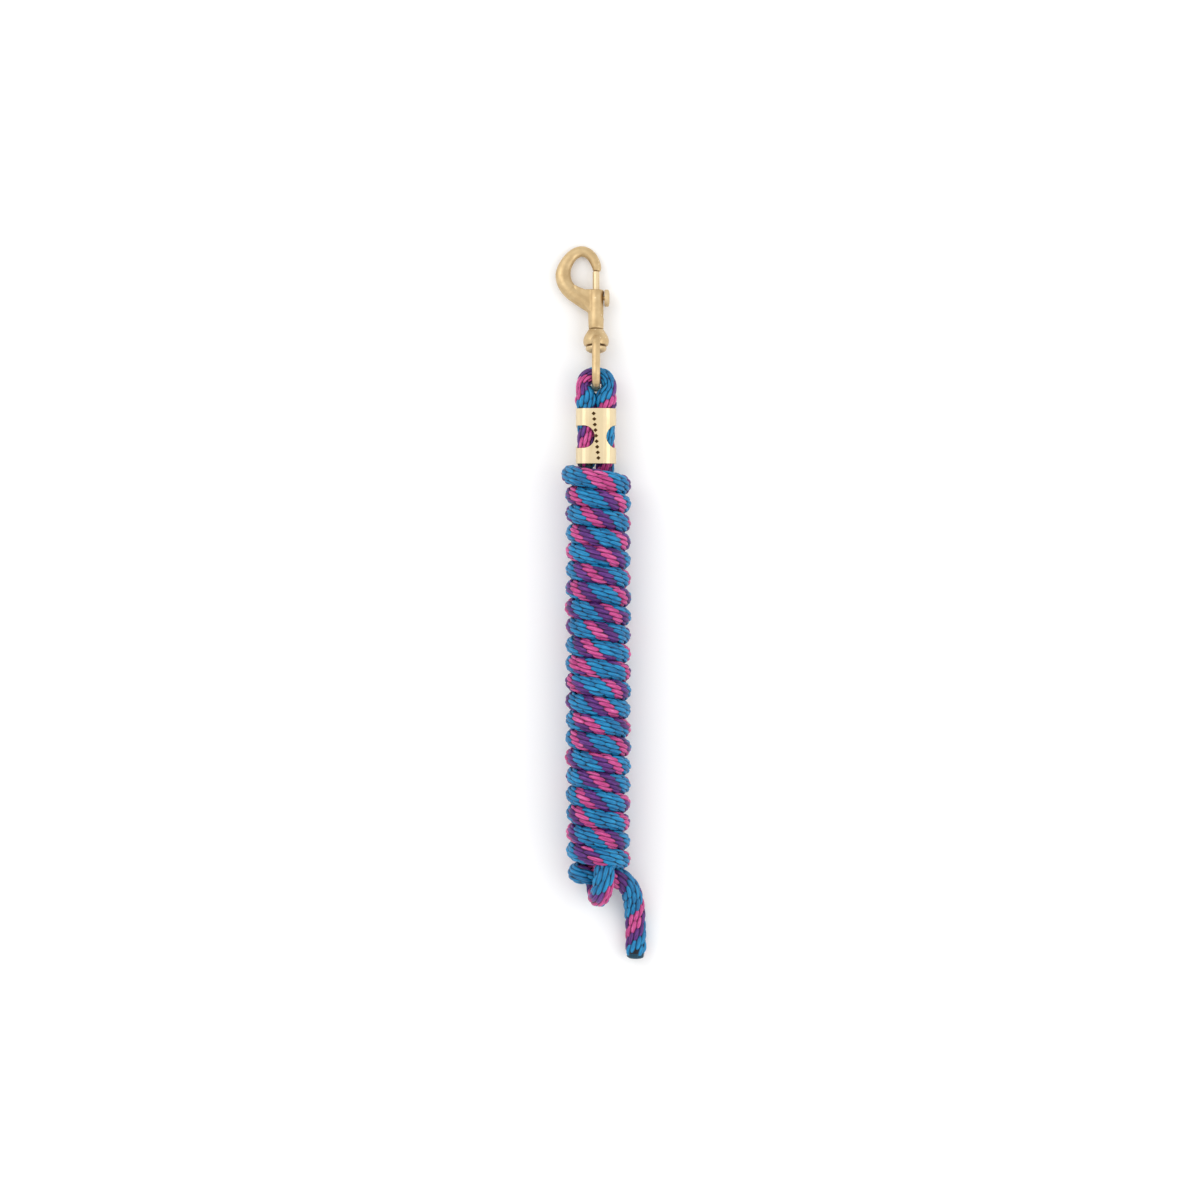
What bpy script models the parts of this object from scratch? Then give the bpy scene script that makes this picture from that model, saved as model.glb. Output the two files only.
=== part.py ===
"""Horse lead rope, packed as it is sold: a brass swivel bolt snap on a rope eye that a
pressed ferrule closes, the rope wound round its own doubled core into a hank, and the
free end tucked through the bight at the bottom.

It lies on a table. X runs across it, Y along it towards the snap, and Z up.
The snap pieces are modelled in a frame of their own, with its origin where the swivel
eye turns on the rope and +Y along the snap, and that frame leans down until the hook
rests on the table. Lengths are in metres.
"""

import math

import bmesh
import bpy
from mathutils import Matrix, Vector

# Clearances
GAP = 0.0003  # between pieces that touch
TURN_GAP = 0.00025  # round a shaft that turns or slides
OVERCUT = 0.004  # how far a cutter reaches past an open face

# Rope
ROPE_D = 0.0154  # where it lies free
BIGHT_ROPE_D = 0.014  # where the bight is pulled tight over the tail
EYE_ROPE_W = 0.0117  # in the eye, squeezed across the loop
EYE_ROPE_DEEP = 0.016  # in the eye, spread through the loop

# Hank of wraps
HANK_D = 0.0483
HANK_LENGTH = 0.2955
HANK_END_ROUND = 0.006
HANK_FLAT = 0.001  # how far its own weight flattens it
HANK_X = 0.0016  # how far its axis lies beside the snap's
CORE_DROP = 0.0053  # the rope to the snap leaves the hank this far under its middle

# Ferrule
FERRULE_LENGTH = 0.0409
FERRULE_WALL = 0.001
FERRULE_SIDE_ROOM = 0.00095
FERRULE_CORNER_ROOM = 0.0002  # at the least, where the legs' ovals come near its round ends
FERRULE_DEEP_ROOM = 0.00075
LEG_SPLIT = 0.0027  # between the two legs of the rope eye
WINDOW_HEIGHT = 0.0168
WINDOW_BACK_STRIP = 0.020162  # metal between the two windows behind
WINDOW_STRIP = 0.0085  # metal between the two windows in front
WINDOW_PAST_FLAT = 0.0024  # how far past the flat front the window at +X starts
WINDOW_SHIFT = 0.0006  # from the middle of the ferrule towards its lower end
WINDOW_CUT = 0.0015  # how far past the sheet the cutter reaches on each side
WINDOW_END_STEPS = 6
NECK = 0.001  # bare rope between ferrule and hank

# Rope eye
LOOP_STRAIGHT = 0.006  # of each leg under the arch, beside the swivel eye's tip
LEG_STRAIGHT = 0.001  # of each leg just inside the ferrule
LEG_LENGTH = 0.0162  # from the arch's centre to the ferrule

# Swivel eye
EYE_WIRE = 0.0045  # thickness in the plane of the ring
EYE_WIRE_WIDE = 0.0062  # across it
EYE_ROOM = 0.0015  # each side of the rope
TIP_ROOM = 0.0008
HOLE_ROOM = 0.0007  # each side of the wire in the rope's loop
EYE_INNER_LENGTH = 0.0245
HUB_D = 0.0192
HUB_TOP_D = 0.0115
HUB_HEIGHT = 0.0122
# The hub's dome: share of its radius, and distance under its top.
HUB_DOME = ((0.79, 0.0031), (0.92, 0.0053), (0.99, 0.0075), (1.0, 0.0093))
HUB_TOP_EDGE = (0.0003, 0.0006)
HUB_FOOT_SHARE = (0.95, 0.90)  # of its radius, above and at its foot
HUB_FOOT_EDGE = 0.0008
# Where the ring's wire leaves the hub: above the hub's foot, and in from its side.
WIRE_ROOT = (0.0065, 0.0045)
WIRE_LEAVES = (0.0018, -0.0008)
WIRE_SHOULDER = 0.004  # under the rivet's seat
WIRE_SHOULDER_IN = 0.0002

# Swivel rivet
RIVET_HEAD_D = 0.0155
RIVET_HEAD_HEIGHT = 0.0046
RIVET_SHANK_D = 0.007
RIVET_HEAD_GAP = 0.0011  # end play under the hub
RIVET_GRIP = 0.0024  # length pressed into the barrel
RIVET_RIM = 0.0012  # straight edge of its head, above the dome
RIVET_EDGE = 0.0003

# Snap body
BARREL_D = 0.012
BARREL_FOOT_D = 0.0111
BARREL_LENGTH = 0.0296
HOOK_GATE = 0.0149  # from the barrel to the end of the hook's nose
HOOK_DEPTH_RATIO = 0.85  # the hook's thickness through, as a share of its width
WEB_THICK = 0.0085
BARREL_EDGE = 0.0004  # bevel at its two ends
BARREL_STRAIGHT = 0.6  # share of its length that doesn't taper
# Middle of the hook from its nose to where it runs into the barrel, measured from the
# top of the barrel on its axis, with the half width there.
HOOK_LINE = (
    (0.00045, HOOK_GATE, 0.00295),
    (0.00025, HOOK_GATE + 0.0040, 0.0036),
    (-0.0037, HOOK_GATE + 0.0116, 0.0039),
    (-0.0103, HOOK_GATE + 0.0151, 0.0041),
    (-0.0174, HOOK_GATE + 0.0121, 0.0043),
    (-0.0226, HOOK_GATE + 0.0048, 0.0050),
    (-0.0246, HOOK_GATE - 0.0024, 0.0057),
    (-0.0231, HOOK_GATE - 0.0098, 0.0058),
    (-0.0186, HOOK_GATE - 0.0160, 0.0057),
    (-0.0126, -0.0056, 0.0057),
    (-0.0065, -0.0101, 0.0054),
    (-0.0005, -0.0146, 0.0048),
)
WEB_OUTLINE = (
    (-0.0165, 0.0040),
    (-0.0120, 0.0016),
    (-0.0085, 0.0003),
    (0.0, 0.0002),
    (0.0, -0.0190),
    (-0.0040, -0.0180),
    (-0.0120, -0.0080),
)

# Bolt, thumb stud and spring
BOLT_D = 0.0051
BOLT_TRAVEL = 0.0136
BOLT_TAIL = 0.010  # length inside the barrel
BOLT_CHAMFER = 0.0005
STUD_DOWN = 0.0058  # from the top of the barrel to the stud's middle
STUD_D = 0.0128
STUD_THICK = 0.0038
STUD_ROUND = 0.0011
STUD_CROWN = 0.0004  # how far its face is domed
STUD_EDGE = 0.0005  # bevel at the back
STUD_FLAT = 0.45  # share of its radius that is flat
STUD_NECK_D = 0.0032
STUD_NECK_DEPTH = 0.0017  # how far the neck goes into the bolt, from its axis outwards
SPRING_WIRE_D = 0.00045
SPRING_ROOM = 0.000475  # between the coil and the bore that the bolt slides in
SPRING_COIL_D = BOLT_D + 2 * (TURN_GAP - SPRING_ROOM) - SPRING_WIRE_D  # to the wire's middle
SPRING_TURNS = 6
SPRING_END_GAP = 0.0001

# Bight and tail, measured from the hank's axis at its lower end
TAIL_DOWN = 0.0083  # how far under the hank the tail passes through the bight
BIGHT_FRONT_X = HANK_X + 0.0036
BIGHT_BACK_X = HANK_X - 0.0022
TABLE_GAP = 0.0001  # under what comes closest to the table
TAIL_END_Z = ROPE_D / 2 + TABLE_GAP

SEGMENTS = 40
RING_POINTS = 40
HOOK_POINTS = 40
HOOK_SIDES_RESOLUTION = 6

# Where things stand
AXIS_Z = HANK_D / 2 - HANK_FLAT
FRONT_Z = AXIS_Z - CORE_DROP
LOOP_HOLE_R = EYE_WIRE_WIDE / 2 + HOLE_ROOM
LOOP_R = LOOP_HOLE_R + EYE_ROPE_W / 2
LEG_X = EYE_ROPE_W / 2 + LEG_SPLIT / 2
FERRULE_IN_DEEP = EYE_ROPE_DEEP + 2 * FERRULE_DEEP_ROOM
LEG_CORNER = max(
    LEG_X
    + EYE_ROPE_W / 2 * math.cos(turn)
    - math.sqrt(
        (FERRULE_IN_DEEP / 2 - FERRULE_CORNER_ROOM) ** 2
        - (EYE_ROPE_DEEP / 2 * math.sin(turn)) ** 2
    )
    for turn in (math.radians(n) for n in range(91))
)
FERRULE_IN_W = 2 * max(
    LEG_X + EYE_ROPE_W / 2 + FERRULE_SIDE_ROOM, LEG_CORNER + FERRULE_IN_DEEP / 2
)
FERRULE_ROUND = FERRULE_IN_DEEP / 2 + FERRULE_WALL
FERRULE_FLAT = FERRULE_IN_W / 2 + FERRULE_WALL - FERRULE_ROUND
HALF_GIRTH = 2 * FERRULE_FLAT + math.pi * FERRULE_ROUND
STRIP_TURN = FERRULE_FLAT + WINDOW_PAST_FLAT - WINDOW_STRIP / 2
FERRULE_TOP = -LEG_LENGTH
FERRULE_FOOT = FERRULE_TOP - FERRULE_LENGTH
HANK_TOP = FERRULE_FOOT - NECK
HANK_FOOT = HANK_TOP - HANK_LENGTH

EYE_HALF_W = EYE_ROPE_DEEP / 2 + EYE_ROOM
TIP_REACH = EYE_ROPE_DEEP / 2 + TIP_ROOM
RIVET_FOOT = EYE_INNER_LENGTH - TIP_REACH
RIVET_SEAT = RIVET_FOOT + RIVET_HEAD_HEIGHT
HUB_FOOT = RIVET_SEAT + RIVET_HEAD_GAP
HUB_TOP = HUB_FOOT + HUB_HEIGHT
BARREL_FOOT = HUB_TOP + GAP
BARREL_TOP = BARREL_FOOT + BARREL_LENGTH
RIVET_END = BARREL_FOOT + RIVET_GRIP
BORE_FOOT = RIVET_END + GAP
BOLT_TIP = BARREL_TOP + HOOK_GATE - GAP
BOLT_END = BARREL_TOP - BOLT_TAIL
STUD_Y = BARREL_TOP - STUD_DOWN
STUD_FACE = BARREL_D / 2 + GAP

BRASS = ("brass", (0.62, 0.42, 0.18), 0.34, 1.0)
STEEL = ("spring_steel", (0.55, 0.55, 0.56), 0.3, 1.0)
ROPE = ("rope_yarn", (0.02, 0.26, 0.45), 0.7, 0.0)


def clear_scene():
    for thing in list(bpy.data.objects):
        bpy.data.objects.remove(thing, do_unlink=True)


def new_collection(name):
    made = bpy.data.collections.new(name)
    bpy.context.scene.collection.children.link(made)
    return made


def material(name, colour, roughness, metallic):
    found = bpy.data.materials.get(name)
    if found:
        return found
    made = bpy.data.materials.new(name)
    made.use_nodes = True
    made.diffuse_color = (*colour, 1.0)
    shader = made.node_tree.nodes["Principled BSDF"]
    shader.inputs["Base Color"].default_value = (*colour, 1.0)
    shader.inputs["Roughness"].default_value = roughness
    shader.inputs["Metallic"].default_value = metallic
    return made


def place(thing, collection, parent, finish=None):
    """Links an object to its collection and its parent, and gives it its finish."""
    collection.objects.link(thing)
    thing.parent = parent
    if finish:
        thing.data.materials.clear()
        thing.data.materials.append(material(*finish))
    return thing


def hide_cutter(thing):
    thing.hide_render = True
    thing.display_type = "WIRE"
    return thing


def smooth_line(points, count):
    """Reads count points, evenly spaced, from a smooth curve through the given ones."""
    points = [Vector(p) for p in points]
    ends = [2 * points[0] - points[1], 2 * points[-1] - points[-2]]
    held = [ends[0], *points, ends[1]]
    fine = []
    steps = 24
    for i in range(1, len(held) - 2):
        p0, p1, p2, p3 = held[i - 1 : i + 3]
        for k in range(steps):
            t = k / steps
            fine.append(
                0.5
                * (
                    2 * p1
                    + (p2 - p0) * t
                    + (2 * p0 - 5 * p1 + 4 * p2 - p3) * t**2
                    + (3 * p1 - p0 - 3 * p2 + p3) * t**3
                )
            )
    fine.append(points[-1])
    run = [0.0]
    for a, b in zip(fine, fine[1:]):
        run.append(run[-1] + (b - a).xyz.length)
    read = []
    k = 0
    for n in range(count):
        want = run[-1] * n / (count - 1)
        while k < len(run) - 2 and run[k + 1] < want:
            k += 1
        share = (want - run[k]) / max(run[k + 1] - run[k], 1e-12)
        read.append(fine[k].lerp(fine[k + 1], share))
    return read


def tube(name, points, radius, radii=None, resolution=4):
    """A curve object along the points, round, with closed ends."""
    data = bpy.data.curves.new(name, "CURVE")
    data.dimensions = "3D"
    data.bevel_depth = radius
    data.bevel_resolution = resolution
    data.use_fill_caps = True
    spline = data.splines.new("POLY")
    spline.points.add(len(points) - 1)
    for n, (held, point) in enumerate(zip(spline.points, points)):
        held.co = (*point, 1.0)
        held.radius = radii[n] / radius if radii else 1.0
    return bpy.data.objects.new(name, data)


def as_mesh(curve_object, stretch=(1.0, 1.0, 1.0)):
    """The curve's surface as a closed mesh object, stretched about its origin."""
    bpy.context.scene.collection.objects.link(curve_object)
    bpy.context.view_layer.update()
    seen = curve_object.evaluated_get(bpy.context.evaluated_depsgraph_get())
    mesh = bpy.data.meshes.new_from_object(seen)
    name = curve_object.name
    bpy.data.objects.remove(curve_object, do_unlink=True)
    mesh.transform(Matrix.Diagonal((*stretch, 1.0)))
    shape = bmesh.new()
    shape.from_mesh(mesh)
    bmesh.ops.remove_doubles(shape, verts=shape.verts, dist=1e-6)
    bmesh.ops.recalc_face_normals(shape, faces=shape.faces)
    shape.to_mesh(mesh)
    shape.free()
    made = bpy.data.objects.new(name, mesh)
    mesh.name = name
    return made


def turned(name, profile, axis="Y", segments=SEGMENTS):
    """A solid turned about its Y or X axis. profile runs from the axis, at the far end,
    down the outside and back to the axis: (radius, place along the axis)."""
    mesh = bpy.data.meshes.new(name)
    if axis == "Y":
        places = [(r, y, 0.0) for r, y in profile]
    else:
        places = [(x, r, 0.0) for r, x in profile]
    edges = [(n, n + 1) for n in range(len(profile) - 1)]
    mesh.from_pydata(places, edges, [])
    made = bpy.data.objects.new(name, mesh)
    screw = made.modifiers.new("turn", "SCREW")
    screw.axis = axis
    screw.steps = segments
    screw.render_steps = segments
    screw.use_merge_vertices = True
    screw.merge_threshold = 0.00001
    screw.use_smooth_shade = True
    screw.use_normal_calculate = True
    return made


def cylinder(name, radius, length, middle, along, segments=SEGMENTS):
    """A closed cylinder mesh object with its axis in the direction along."""
    mesh = bpy.data.meshes.new(name)
    shape = bmesh.new()
    turn = Vector((0, 0, 1)).rotation_difference(Vector(along)).to_matrix().to_4x4()
    bmesh.ops.create_cone(
        shape,
        cap_ends=True,
        segments=segments,
        radius1=radius,
        radius2=radius,
        depth=length,
        matrix=Matrix.Translation(middle) @ turn,
    )
    shape.to_mesh(mesh)
    shape.free()
    return bpy.data.objects.new(name, mesh)


def box(name, low, high):
    mesh = bpy.data.meshes.new(name)
    shape = bmesh.new()
    bmesh.ops.create_cube(shape, size=1.0)
    low, high = Vector(low), Vector(high)
    for vert in shape.verts:
        share = vert.co + Vector((0.5, 0.5, 0.5))
        vert.co = [low[n] + (high[n] - low[n]) * share[n] for n in range(3)]
    shape.to_mesh(mesh)
    shape.free()
    return bpy.data.objects.new(name, mesh)


def cut(piece, cutter, operation="DIFFERENCE"):
    step = piece.modifiers.new(cutter.name, "BOOLEAN")
    step.operation = operation
    step.object = cutter
    step.solver = "EXACT"


def smooth_by_angle(piece, degrees=35):
    piece.data.shade_smooth()
    piece.data.set_sharp_from_angle(angle=math.radians(degrees))


def make_snap_body(parts, cutters, frame):
    """Cast body: turned barrel, hook, and the flat web between them, bored for the bolt."""
    body = turned(
        "snap_body",
        (
            (0.0, BARREL_TOP),
            (BARREL_D / 2 - BARREL_EDGE, BARREL_TOP),
            (BARREL_D / 2, BARREL_TOP - BARREL_EDGE),
            (BARREL_D / 2, BARREL_TOP - BARREL_STRAIGHT * BARREL_LENGTH),
            (BARREL_FOOT_D / 2, BARREL_FOOT + BARREL_EDGE),
            (BARREL_FOOT_D / 2 - BARREL_EDGE, BARREL_FOOT),
            (0.0, BARREL_FOOT),
        ),
    )
    place(body, parts, frame, BRASS)
    spots = smooth_line(
        [(x, BARREL_TOP + y, r) for x, y, r in HOOK_LINE], HOOK_POINTS
    )
    line = [Vector((p.x, p.y, 0.0)) for p in spots]
    radii = [p.z for p in spots]
    hook = as_mesh(
        tube("hook", line, BARREL_D / 2, radii, HOOK_SIDES_RESOLUTION),
        (1.0, 1.0, HOOK_DEPTH_RATIO),
    )
    web = flat_outline("web", [(x, BARREL_TOP + y) for x, y in WEB_OUTLINE], WEB_THICK)
    bolt_bore = cylinder(
        "bolt_bore",
        BOLT_D / 2 + TURN_GAP,
        BARREL_TOP - BORE_FOOT + OVERCUT,
        (0, (BARREL_TOP + BORE_FOOT + OVERCUT) / 2, 0),
        (0, 1, 0),
    )
    rivet_bore = cylinder(
        "rivet_bore",
        RIVET_SHANK_D / 2 + GAP,
        2 * (BORE_FOOT - BARREL_FOOT),
        (0, BARREL_FOOT, 0),
        (0, 1, 0),
    )
    half_slot = STUD_NECK_D / 2 + GAP
    slot = box(
        "stud_slot",
        (0.0, STUD_Y - BOLT_TRAVEL - half_slot, -half_slot),
        (BARREL_D, STUD_Y + half_slot, half_slot),
    )
    for tool, operation in (
        (hook, "UNION"),
        (web, "UNION"),
        (bolt_bore, "DIFFERENCE"),
        (rivet_bore, "DIFFERENCE"),
        (slot, "DIFFERENCE"),
    ):
        place(hide_cutter(tool), cutters, frame)
        cut(body, tool, operation)
    return body


def flat_outline(name, points, thick):
    """A flat plate with the given outline in the XY plane, as a closed mesh."""
    data = bpy.data.curves.new(name, "CURVE")
    data.dimensions = "2D"
    data.fill_mode = "BOTH"
    data.extrude = thick / 2
    spline = data.splines.new("POLY")
    spline.points.add(len(points) - 1)
    for held, (x, y) in zip(spline.points, points):
        held.co = (x, y, 0.0, 1.0)
    spline.use_cyclic_u = True
    return as_mesh(bpy.data.objects.new(name, data))


def make_bolt(parts, cutters, frame):
    """Sliding gate pin, cross-drilled for the stud's neck."""
    radius = BOLT_D / 2
    bolt = turned(
        "gate_bolt",
        (
            (0.0, BOLT_TIP),
            (radius - BOLT_CHAMFER, BOLT_TIP),
            (radius, BOLT_TIP - BOLT_CHAMFER),
            (radius, BOLT_END),
            (0.0, BOLT_END),
        ),
        segments=32,
    )
    place(bolt, parts, frame, BRASS)
    hole = cylinder(
        "stud_hole",
        STUD_NECK_D / 2 + GAP,
        BOLT_D,
        (STUD_NECK_DEPTH - GAP + BOLT_D / 2, STUD_Y, 0),
        (1, 0, 0),
        24,
    )
    place(hide_cutter(hole), cutters, frame)
    cut(bolt, hole)
    return bolt


def make_stud(parts, frame):
    """Round thumb button on a short neck."""
    radius = STUD_D / 2
    inner, outer = STUD_FACE, STUD_FACE + STUD_THICK
    profile = [(0.0, outer), (radius * STUD_FLAT, outer)]
    for n in range(5):
        angle = math.pi / 2 * n / 4
        profile.append(
            (
                radius - STUD_ROUND + STUD_ROUND * math.sin(angle),
                outer - STUD_CROWN - STUD_ROUND + STUD_ROUND * math.cos(angle),
            )
        )
    profile += [
        (radius, inner + STUD_EDGE),
        (radius - STUD_EDGE, inner),
        (STUD_NECK_D / 2, inner),
        (STUD_NECK_D / 2, STUD_NECK_DEPTH),
        (0.0, STUD_NECK_DEPTH),
    ]
    stud = turned("thumb_stud", profile, axis="X", segments=32)
    place(stud, parts, frame, BRASS)
    stud.location = (0, STUD_Y, 0)
    return stud


def make_spring(parts, frame):
    """Coil spring between the rivet's end and the bolt."""
    low = BORE_FOOT + SPRING_WIRE_D / 2 + SPRING_END_GAP
    high = BOLT_END - GAP - SPRING_WIRE_D / 2
    points = []
    per_turn = 12
    for n in range(SPRING_TURNS * per_turn + 1):
        angle = 2 * math.pi * n / per_turn
        points.append(
            Vector(
                (
                    SPRING_COIL_D / 2 * math.cos(angle),
                    low + (high - low) * n / (SPRING_TURNS * per_turn),
                    SPRING_COIL_D / 2 * math.sin(angle),
                )
            )
        )
    spring = tube("bolt_spring", points, SPRING_WIRE_D / 2, resolution=2)
    return place(spring, parts, frame, STEEL)


def make_rivet(parts, frame):
    """Swivel rivet: domed head inside the eye, shank through the hub into the barrel."""
    head, shank = RIVET_HEAD_D / 2, RIVET_SHANK_D / 2
    profile = [
        (0.0, RIVET_END),
        (shank - RIVET_EDGE, RIVET_END),
        (shank, RIVET_END - RIVET_EDGE),
        (shank, RIVET_SEAT),
        (head - RIVET_EDGE, RIVET_SEAT),
        (head, RIVET_SEAT - RIVET_EDGE),
    ]
    dome = RIVET_HEAD_HEIGHT - RIVET_RIM
    for n in range(7):
        angle = math.pi / 2 * n / 6
        profile.append(
            (head * math.cos(angle), RIVET_SEAT - RIVET_RIM - dome * math.sin(angle))
        )
    profile[-1] = (0.0, RIVET_FOOT)
    rivet = turned("swivel_rivet", profile)
    return place(rivet, parts, frame, BRASS)


def ring_line():
    """Middle of the eye's wire in the YZ plane: up one side, round the tip, down the other."""
    side = EYE_HALF_W + EYE_WIRE / 2
    tip_middle = EYE_HALF_W - TIP_REACH
    shoulder = RIVET_SEAT - WIRE_SHOULDER
    one_side = [
        (0, HUB_FOOT + WIRE_ROOT[0], HUB_D / 2 - WIRE_ROOT[1]),
        (0, HUB_FOOT + WIRE_LEAVES[0], HUB_D / 2 - WIRE_LEAVES[1]),
        (0, shoulder, side - WIRE_SHOULDER_IN),
        (0, (shoulder + tip_middle) / 2, side),
    ]
    arc = []
    for n in range(9):
        angle = math.pi * n / 8
        arc.append(
            (0, tip_middle - side * math.sin(angle), side * math.cos(angle))
        )
    other_side = [(x, y, -z) for x, y, z in reversed(one_side)]
    return smooth_line([*one_side, *arc, *other_side], RING_POINTS)


def make_swivel_eye(parts, cutters, frame):
    """Ring for the rope with a turned hub, bored for the rivet."""
    radius = HUB_D / 2
    eye = turned(
        "swivel_eye",
        (
            (0.0, HUB_TOP),
            (HUB_TOP_D / 2, HUB_TOP),
            (HUB_TOP_D / 2 + HUB_TOP_EDGE[0], HUB_TOP - HUB_TOP_EDGE[1]),
            *((radius * share, HUB_TOP - down) for share, down in HUB_DOME),
            (radius * HUB_FOOT_SHARE[0], HUB_FOOT + HUB_FOOT_EDGE),
            (radius * HUB_FOOT_SHARE[1], HUB_FOOT),
            (0.0, HUB_FOOT),
        ),
    )
    place(eye, parts, frame, BRASS)
    ring = as_mesh(
        tube("eye_ring", ring_line(), EYE_WIRE / 2, resolution=4),
        (EYE_WIRE_WIDE / EYE_WIRE, 1.0, 1.0),
    )
    bore = cylinder(
        "rivet_running_bore",
        RIVET_SHANK_D / 2 + TURN_GAP,
        3 * HUB_HEIGHT,
        (0, (HUB_TOP + HUB_FOOT) / 2, 0),
        (0, 1, 0),
    )
    for tool, operation in ((ring, "UNION"), (bore, "DIFFERENCE")):
        place(hide_cutter(tool), cutters, frame)
        cut(eye, tool, operation)
    return eye


def stadium(half_w, half_d, arc_steps=12):
    """Outline with two flat sides and round ends, in the XZ plane."""
    flat = half_w - half_d
    points = []
    for side in (1, -1):
        for n in range(arc_steps + 1):
            angle = math.pi * (n / arc_steps - 0.5)
            points.append(
                (
                    side * (flat + half_d * math.cos(angle)),
                    side * half_d * math.sin(angle),
                )
            )
    return points


def round_the_ferrule(way_round, out):
    """(x, z) of a point at a length round the ferrule's outside, from the middle of its
    front towards +X, and that far out of its surface."""
    radius, flat = FERRULE_ROUND, FERRULE_FLAT
    side = 1 if way_round >= 0 else -1
    past = abs(way_round) - flat
    if past < 0:
        return side * abs(way_round), radius + out
    angle = min(past / radius, math.pi)
    back = max(past - math.pi * radius, 0.0)
    return (
        side * (flat + (radius + out) * math.sin(angle) - back),
        (radius + out) * math.cos(angle),
    )


def window_plug(name, side, middle):
    """Cutter for one window: a round-ended slot in the flat sheet, bent with the sheet."""
    end = WINDOW_HEIGHT / 2
    first = WINDOW_STRIP / 2 + end
    last = HALF_GIRTH - WINDOW_BACK_STRIP / 2 - end
    turns = [
        math.pi / 2 * (n + 0.5) / WINDOW_END_STEPS for n in range(WINDOW_END_STEPS)
    ]
    places = [(first - end * math.cos(t), end * math.sin(t)) for t in turns]
    places += [
        (first + (last - first) * n / WINDOW_END_STEPS, end)
        for n in range(WINDOW_END_STEPS + 1)
    ]
    places += [(last + end * math.cos(t), end * math.sin(t)) for t in reversed(turns)]
    shape = bmesh.new()
    frames = []
    for way_round, half in places:
        corners = []
        for out, y in (
            (WINDOW_CUT, half),
            (WINDOW_CUT, -half),
            (-FERRULE_WALL - WINDOW_CUT, -half),
            (-FERRULE_WALL - WINDOW_CUT, half),
        ):
            x, z = round_the_ferrule(STRIP_TURN + side * way_round, out)
            corners.append(shape.verts.new((x, middle + y, FRONT_Z + z)))
        frames.append(corners)
    for a, b in zip(frames, frames[1:]):
        for n in range(4):
            m = (n + 1) % 4
            shape.faces.new((a[n], a[m], b[m], b[n]))
    shape.faces.new(reversed(frames[0]))
    shape.faces.new(frames[-1])
    bmesh.ops.recalc_face_normals(shape, faces=shape.faces)
    mesh = bpy.data.meshes.new(name)
    shape.to_mesh(mesh)
    shape.free()
    return bpy.data.objects.new(name, mesh)


def make_ferrule(parts, cutters, root):
    """Sheet tube pressed over both legs of the eye, with a window in each side."""
    mesh = bpy.data.meshes.new("ferrule")
    shape = bmesh.new()
    outline = stadium(
        FERRULE_IN_W / 2 + FERRULE_WALL, FERRULE_IN_DEEP / 2 + FERRULE_WALL
    )
    ends = [
        [shape.verts.new((x, y, FRONT_Z + z)) for x, z in outline]
        for y in (FERRULE_FOOT, FERRULE_TOP)
    ]
    for n in range(len(outline)):
        after = (n + 1) % len(outline)
        shape.faces.new((ends[0][n], ends[0][after], ends[1][after], ends[1][n]))
    bmesh.ops.recalc_face_normals(shape, faces=shape.faces)
    shape.to_mesh(mesh)
    shape.free()
    ferrule = bpy.data.objects.new("ferrule", mesh)
    place(ferrule, parts, root, BRASS)
    wall = ferrule.modifiers.new("wall", "SOLIDIFY")
    wall.thickness = FERRULE_WALL
    wall.offset = -1.0
    wall.use_even_offset = True
    middle = (FERRULE_TOP + FERRULE_FOOT) / 2 - WINDOW_SHIFT
    for name, side in (("left_window", -1), ("right_window", 1)):
        window = window_plug(name, side, middle)
        place(hide_cutter(window), cutters, root)
        cut(ferrule, window)
    return ferrule


def make_rope_eye(parts, root):
    """Both legs through the ferrule and the arch that the swivel eye hangs on."""
    low = HANK_TOP + GAP
    leg = [
        (LEG_X, low, FRONT_Z),
        (LEG_X, (low + FERRULE_TOP) / 2, FRONT_Z),
        (LEG_X, FERRULE_TOP - LEG_STRAIGHT, FRONT_Z),
        (LOOP_R, -LOOP_STRAIGHT, FRONT_Z),
    ]
    arch = []
    for n in range(9):
        angle = math.pi * n / 8
        arch.append((LOOP_R * math.cos(angle), LOOP_R * math.sin(angle), FRONT_Z))
    back = [(-x, y, z) for x, y, z in reversed(leg)]
    line = [p - Vector((0, 0, FRONT_Z)) for p in smooth_line([*leg, *arch, *back], 72)]
    eye = as_mesh(
        tube("rope_eye", line, EYE_ROPE_W / 2, resolution=4),
        (1.0, 1.0, EYE_ROPE_DEEP / EYE_ROPE_W),
    )
    place(eye, parts, root, ROPE)
    eye.location = (0, 0, FRONT_Z)
    smooth_by_angle(eye)
    return eye


def make_rope_hank(parts, cutters, root):
    """Outer shape of the wraps, with round ends, flattened where it lies."""
    radius, round_end = HANK_D / 2, HANK_END_ROUND
    profile = [(0.0, HANK_TOP)]
    for n in range(5):
        angle = math.pi / 2 * n / 4
        profile.append(
            (
                radius - round_end + round_end * math.sin(angle),
                HANK_TOP - round_end + round_end * math.cos(angle),
            )
        )
    for n in range(5):
        angle = math.pi / 2 * n / 4
        profile.append(
            (
                radius - round_end + round_end * math.cos(angle),
                HANK_FOOT + round_end - round_end * math.sin(angle),
            )
        )
    profile.append((0.0, HANK_FOOT))
    hank = turned("rope_hank", profile)
    place(hank, parts, root, ROPE)
    hank.location = (HANK_X, 0, AXIS_Z)
    table = box(
        "table_flat",
        (HANK_X - HANK_D, HANK_FOOT - HANK_D, -HANK_D),
        (HANK_X + HANK_D, HANK_TOP + HANK_D, 0.0),
    )
    place(hide_cutter(table), cutters, root)
    cut(hank, table)
    return hank


def bight_height():
    """How far over and under the hank's axis the bight's two strands run."""
    return (ROPE_D + BIGHT_ROPE_D) / 2 + GAP


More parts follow.
